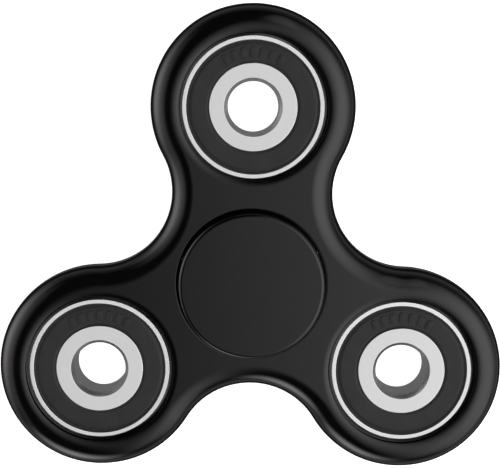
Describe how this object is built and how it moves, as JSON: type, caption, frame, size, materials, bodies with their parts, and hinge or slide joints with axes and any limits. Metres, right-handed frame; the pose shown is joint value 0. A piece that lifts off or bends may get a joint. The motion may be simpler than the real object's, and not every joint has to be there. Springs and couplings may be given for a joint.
{
  "type": "fidget spinner",
  "caption": "Flat lobed finger spinner: a moulded body turning on a sealed ball bearing between finger caps, with open-bore ball bearings as lobe weights.",
  "frame": {"origin": "on the spin axis, at the middle of the centre bearing, which is also the middle of the spinner's thickness", "axes": "+Z along the spin axis towards the top finger cap; +Y from the spin axis to lobe1, with lobe2 at the lower left (210 degrees) and lobe3 at the lower right (330 degrees) seen from +Z"},
  "size_m": [0.0768, 0.0707, 0.0136],
  "materials": {
    "body_plastic": "satin black injection-moulded ABS",
    "cap_plastic": "satin black injection-moulded ABS",
    "bearing_steel": "ground bearing steel, fine concentric grinding marks on the faces",
    "ball_steel": "polished steel",
    "seal_rubber": null,
    "cage_plastic": "natural nylon"
  },
  "bodies": {
    "hub": {"finger_cap_top": "cap_plastic", "finger_cap_bottom": "cap_plastic", "centre_inner_ring": "bearing_steel"},
    "rotor": {"spinner_body": "body_plastic", "centre_outer_ring": "bearing_steel", "centre_seal_top": "seal_rubber", "centre_seal_bottom": "seal_rubber", "lobe1_outer_ring": "bearing_steel", "lobe1_seal_top": "seal_rubber", "lobe1_seal_bottom": "seal_rubber", "lobe2_outer_ring": "bearing_steel", "lobe2_seal_top": "seal_rubber", "lobe2_seal_bottom": "seal_rubber", "lobe3_outer_ring": "bearing_steel", "lobe3_seal_top": "seal_rubber", "lobe3_seal_bottom": "seal_rubber"},
    "centre_cage": {"centre_cage": "cage_plastic"},
    "centre_ball_1": {"centre_ball_1": "ball_steel"},
    "centre_ball_2": {"centre_ball_2": "ball_steel"},
    "centre_ball_3": {"centre_ball_3": "ball_steel"},
    "centre_ball_4": {"centre_ball_4": "ball_steel"},
    "centre_ball_5": {"centre_ball_5": "ball_steel"},
    "centre_ball_6": {"centre_ball_6": "ball_steel"},
    "centre_ball_7": {"centre_ball_7": "ball_steel"},
    "lobe1_inner": {"lobe1_inner_ring": "bearing_steel"},
    "lobe1_cage": {"lobe1_cage": "cage_plastic"},
    "lobe1_ball_1": {"lobe1_ball_1": "ball_steel"},
    "lobe1_ball_2": {"lobe1_ball_2": "ball_steel"},
    "lobe1_ball_3": {"lobe1_ball_3": "ball_steel"},
    "lobe1_ball_4": {"lobe1_ball_4": "ball_steel"},
    "lobe1_ball_5": {"lobe1_ball_5": "ball_steel"},
    "lobe1_ball_6": {"lobe1_ball_6": "ball_steel"},
    "lobe1_ball_7": {"lobe1_ball_7": "ball_steel"},
    "lobe2_inner": {"lobe2_inner_ring": "bearing_steel"},
    "lobe2_cage": {"lobe2_cage": "cage_plastic"},
    "lobe2_ball_1": {"lobe2_ball_1": "ball_steel"},
    "lobe2_ball_2": {"lobe2_ball_2": "ball_steel"},
    "lobe2_ball_3": {"lobe2_ball_3": "ball_steel"},
    "lobe2_ball_4": {"lobe2_ball_4": "ball_steel"},
    "lobe2_ball_5": {"lobe2_ball_5": "ball_steel"},
    "lobe2_ball_6": {"lobe2_ball_6": "ball_steel"},
    "lobe2_ball_7": {"lobe2_ball_7": "ball_steel"},
    "lobe3_inner": {"lobe3_inner_ring": "bearing_steel"},
    "lobe3_cage": {"lobe3_cage": "cage_plastic"},
    "lobe3_ball_1": {"lobe3_ball_1": "ball_steel"},
    "lobe3_ball_2": {"lobe3_ball_2": "ball_steel"},
    "lobe3_ball_3": {"lobe3_ball_3": "ball_steel"},
    "lobe3_ball_4": {"lobe3_ball_4": "ball_steel"},
    "lobe3_ball_5": {"lobe3_ball_5": "ball_steel"},
    "lobe3_ball_6": {"lobe3_ball_6": "ball_steel"},
    "lobe3_ball_7": {"lobe3_ball_7": "ball_steel"}
  },
  "joints": [
    {"name": "spinner_spin", "type": "hinge", "parent": "hub", "child": "rotor", "pos_m": [0, 0, 0], "axis": [0, 0, 1], "continuous": true},
    {"name": "centre_cage_spin", "type": "hinge", "parent": "hub", "child": "centre_cage", "pos_m": [0, 0, 0], "axis": [0, 0, 1], "continuous": true},
    {"name": "centre_ball_1_roll", "type": "hinge", "parent": "centre_cage", "child": "centre_ball_1", "pos_m": [0.0076, 0, 0], "axis": [0, 0, 1], "continuous": true},
    {"name": "centre_ball_2_roll", "type": "hinge", "parent": "centre_cage", "child": "centre_ball_2", "pos_m": [0.00474, 0.00594, 0], "axis": [0, 0, 1], "continuous": true},
    {"name": "centre_ball_3_roll", "type": "hinge", "parent": "centre_cage", "child": "centre_ball_3", "pos_m": [-0.00169, 0.00741, 0], "axis": [0, 0, 1], "continuous": true},
    {"name": "centre_ball_4_roll", "type": "hinge", "parent": "centre_cage", "child": "centre_ball_4", "pos_m": [-0.00685, 0.0033, 0], "axis": [0, 0, 1], "continuous": true},
    {"name": "centre_ball_5_roll", "type": "hinge", "parent": "centre_cage", "child": "centre_ball_5", "pos_m": [-0.00685, -0.0033, 0], "axis": [0, 0, 1], "continuous": true},
    {"name": "centre_ball_6_roll", "type": "hinge", "parent": "centre_cage", "child": "centre_ball_6", "pos_m": [-0.00169, -0.00741, 0], "axis": [0, 0, 1], "continuous": true},
    {"name": "centre_ball_7_roll", "type": "hinge", "parent": "centre_cage", "child": "centre_ball_7", "pos_m": [0.00474, -0.00594, 0], "axis": [0, 0, 1], "continuous": true},
    {"name": "lobe1_inner_ring_spin", "type": "hinge", "parent": "rotor", "child": "lobe1_inner", "pos_m": [0, 0.0265, 0], "axis": [0, 0, 1], "continuous": true},
    {"name": "lobe1_cage_spin", "type": "hinge", "parent": "rotor", "child": "lobe1_cage", "pos_m": [0, 0.0265, 0], "axis": [0, 0, 1], "continuous": true},
    {"name": "lobe1_ball_1_roll", "type": "hinge", "parent": "lobe1_cage", "child": "lobe1_ball_1", "pos_m": [0.0076, 0.0265, 0], "axis": [0, 0, 1], "continuous": true},
    {"name": "lobe1_ball_2_roll", "type": "hinge", "parent": "lobe1_cage", "child": "lobe1_ball_2", "pos_m": [0.00474, 0.03244, 0], "axis": [0, 0, 1], "continuous": true},
    {"name": "lobe1_ball_3_roll", "type": "hinge", "parent": "lobe1_cage", "child": "lobe1_ball_3", "pos_m": [-0.00169, 0.03391, 0], "axis": [0, 0, 1], "continuous": true},
    {"name": "lobe1_ball_4_roll", "type": "hinge", "parent": "lobe1_cage", "child": "lobe1_ball_4", "pos_m": [-0.00685, 0.0298, 0], "axis": [0, 0, 1], "continuous": true},
    {"name": "lobe1_ball_5_roll", "type": "hinge", "parent": "lobe1_cage", "child": "lobe1_ball_5", "pos_m": [-0.00685, 0.0232, 0], "axis": [0, 0, 1], "continuous": true},
    {"name": "lobe1_ball_6_roll", "type": "hinge", "parent": "lobe1_cage", "child": "lobe1_ball_6", "pos_m": [-0.00169, 0.01909, 0], "axis": [0, 0, 1], "continuous": true},
    {"name": "lobe1_ball_7_roll", "type": "hinge", "parent": "lobe1_cage", "child": "lobe1_ball_7", "pos_m": [0.00474, 0.02056, 0], "axis": [0, 0, 1], "continuous": true},
    {"name": "lobe2_inner_ring_spin", "type": "hinge", "parent": "rotor", "child": "lobe2_inner", "pos_m": [-0.02295, -0.01325, 0], "axis": [0, 0, 1], "continuous": true},
    {"name": "lobe2_cage_spin", "type": "hinge", "parent": "rotor", "child": "lobe2_cage", "pos_m": [-0.02295, -0.01325, 0], "axis": [0, 0, 1], "continuous": true},
    {"name": "lobe2_ball_1_roll", "type": "hinge", "parent": "lobe2_cage", "child": "lobe2_ball_1", "pos_m": [-0.01535, -0.01325, 0], "axis": [0, 0, 1], "continuous": true},
    {"name": "lobe2_ball_2_roll", "type": "hinge", "parent": "lobe2_cage", "child": "lobe2_ball_2", "pos_m": [-0.01821, -0.00731, 0], "axis": [0, 0, 1], "continuous": true},
    {"name": "lobe2_ball_3_roll", "type": "hinge", "parent": "lobe2_cage", "child": "lobe2_ball_3", "pos_m": [-0.02464, -0.00584, 0], "axis": [0, 0, 1], "continuous": true},
    {"name": "lobe2_ball_4_roll", "type": "hinge", "parent": "lobe2_cage", "child": "lobe2_ball_4", "pos_m": [-0.0298, -0.00995, 0], "axis": [0, 0, 1], "continuous": true},
    {"name": "lobe2_ball_5_roll", "type": "hinge", "parent": "lobe2_cage", "child": "lobe2_ball_5", "pos_m": [-0.0298, -0.01655, 0], "axis": [0, 0, 1], "continuous": true},
    {"name": "lobe2_ball_6_roll", "type": "hinge", "parent": "lobe2_cage", "child": "lobe2_ball_6", "pos_m": [-0.02464, -0.02066, 0], "axis": [0, 0, 1], "continuous": true},
    {"name": "lobe2_ball_7_roll", "type": "hinge", "parent": "lobe2_cage", "child": "lobe2_ball_7", "pos_m": [-0.01821, -0.01919, 0], "axis": [0, 0, 1], "continuous": true},
    {"name": "lobe3_inner_ring_spin", "type": "hinge", "parent": "rotor", "child": "lobe3_inner", "pos_m": [0.02295, -0.01325, 0], "axis": [0, 0, 1], "continuous": true},
    {"name": "lobe3_cage_spin", "type": "hinge", "parent": "rotor", "child": "lobe3_cage", "pos_m": [0.02295, -0.01325, 0], "axis": [0, 0, 1], "continuous": true},
    {"name": "lobe3_ball_1_roll", "type": "hinge", "parent": "lobe3_cage", "child": "lobe3_ball_1", "pos_m": [0.03055, -0.01325, 0], "axis": [0, 0, 1], "continuous": true},
    {"name": "lobe3_ball_2_roll", "type": "hinge", "parent": "lobe3_cage", "child": "lobe3_ball_2", "pos_m": [0.02769, -0.00731, 0], "axis": [0, 0, 1], "continuous": true},
    {"name": "lobe3_ball_3_roll", "type": "hinge", "parent": "lobe3_cage", "child": "lobe3_ball_3", "pos_m": [0.02126, -0.00584, 0], "axis": [0, 0, 1], "continuous": true},
    {"name": "lobe3_ball_4_roll", "type": "hinge", "parent": "lobe3_cage", "child": "lobe3_ball_4", "pos_m": [0.0161, -0.00995, 0], "axis": [0, 0, 1], "continuous": true},
    {"name": "lobe3_ball_5_roll", "type": "hinge", "parent": "lobe3_cage", "child": "lobe3_ball_5", "pos_m": [0.0161, -0.01655, 0], "axis": [0, 0, 1], "continuous": true},
    {"name": "lobe3_ball_6_roll", "type": "hinge", "parent": "lobe3_cage", "child": "lobe3_ball_6", "pos_m": [0.02126, -0.02066, 0], "axis": [0, 0, 1], "continuous": true},
    {"name": "lobe3_ball_7_roll", "type": "hinge", "parent": "lobe3_cage", "child": "lobe3_ball_7", "pos_m": [0.02769, -0.01919, 0], "axis": [0, 0, 1], "continuous": true}
  ],
  "couplings": [
    {"joint": "centre_cage_spin", "follows": "spinner_spin", "ratio": 0.6305},
    {"joint": "centre_ball_1_roll", "follows": "spinner_spin", "ratio": 1.7848},
    {"joint": "centre_ball_2_roll", "follows": "spinner_spin", "ratio": 1.7848},
    {"joint": "centre_ball_3_roll", "follows": "spinner_spin", "ratio": 1.7848},
    {"joint": "centre_ball_4_roll", "follows": "spinner_spin", "ratio": 1.7848},
    {"joint": "centre_ball_5_roll", "follows": "spinner_spin", "ratio": 1.7848},
    {"joint": "centre_ball_6_roll", "follows": "spinner_spin", "ratio": 1.7848},
    {"joint": "centre_ball_7_roll", "follows": "spinner_spin", "ratio": 1.7848},
    {"joint": "lobe1_cage_spin", "follows": "lobe1_inner_ring_spin", "ratio": 0.3695},
    {"joint": "lobe1_ball_1_roll", "follows": "lobe1_inner_ring_spin", "ratio": -1.7848},
    {"joint": "lobe1_ball_2_roll", "follows": "lobe1_inner_ring_spin", "ratio": -1.7848},
    {"joint": "lobe1_ball_3_roll", "follows": "lobe1_inner_ring_spin", "ratio": -1.7848},
    {"joint": "lobe1_ball_4_roll", "follows": "lobe1_inner_ring_spin", "ratio": -1.7848},
    {"joint": "lobe1_ball_5_roll", "follows": "lobe1_inner_ring_spin", "ratio": -1.7848},
    {"joint": "lobe1_ball_6_roll", "follows": "lobe1_inner_ring_spin", "ratio": -1.7848},
    {"joint": "lobe1_ball_7_roll", "follows": "lobe1_inner_ring_spin", "ratio": -1.7848},
    {"joint": "lobe2_cage_spin", "follows": "lobe2_inner_ring_spin", "ratio": 0.3695},
    {"joint": "lobe2_ball_1_roll", "follows": "lobe2_inner_ring_spin", "ratio": -1.7848},
    {"joint": "lobe2_ball_2_roll", "follows": "lobe2_inner_ring_spin", "ratio": -1.7848},
    {"joint": "lobe2_ball_3_roll", "follows": "lobe2_inner_ring_spin", "ratio": -1.7848},
    {"joint": "lobe2_ball_4_roll", "follows": "lobe2_inner_ring_spin", "ratio": -1.7848},
    {"joint": "lobe2_ball_5_roll", "follows": "lobe2_inner_ring_spin", "ratio": -1.7848},
    {"joint": "lobe2_ball_6_roll", "follows": "lobe2_inner_ring_spin", "ratio": -1.7848},
    {"joint": "lobe2_ball_7_roll", "follows": "lobe2_inner_ring_spin", "ratio": -1.7848},
    {"joint": "lobe3_cage_spin", "follows": "lobe3_inner_ring_spin", "ratio": 0.3695},
    {"joint": "lobe3_ball_1_roll", "follows": "lobe3_inner_ring_spin", "ratio": -1.7848},
    {"joint": "lobe3_ball_2_roll", "follows": "lobe3_inner_ring_spin", "ratio": -1.7848},
    {"joint": "lobe3_ball_3_roll", "follows": "lobe3_inner_ring_spin", "ratio": -1.7848},
    {"joint": "lobe3_ball_4_roll", "follows": "lobe3_inner_ring_spin", "ratio": -1.7848},
    {"joint": "lobe3_ball_5_roll", "follows": "lobe3_inner_ring_spin", "ratio": -1.7848},
    {"joint": "lobe3_ball_6_roll", "follows": "lobe3_inner_ring_spin", "ratio": -1.7848},
    {"joint": "lobe3_ball_7_roll", "follows": "lobe3_inner_ring_spin", "ratio": -1.7848}
  ]
}
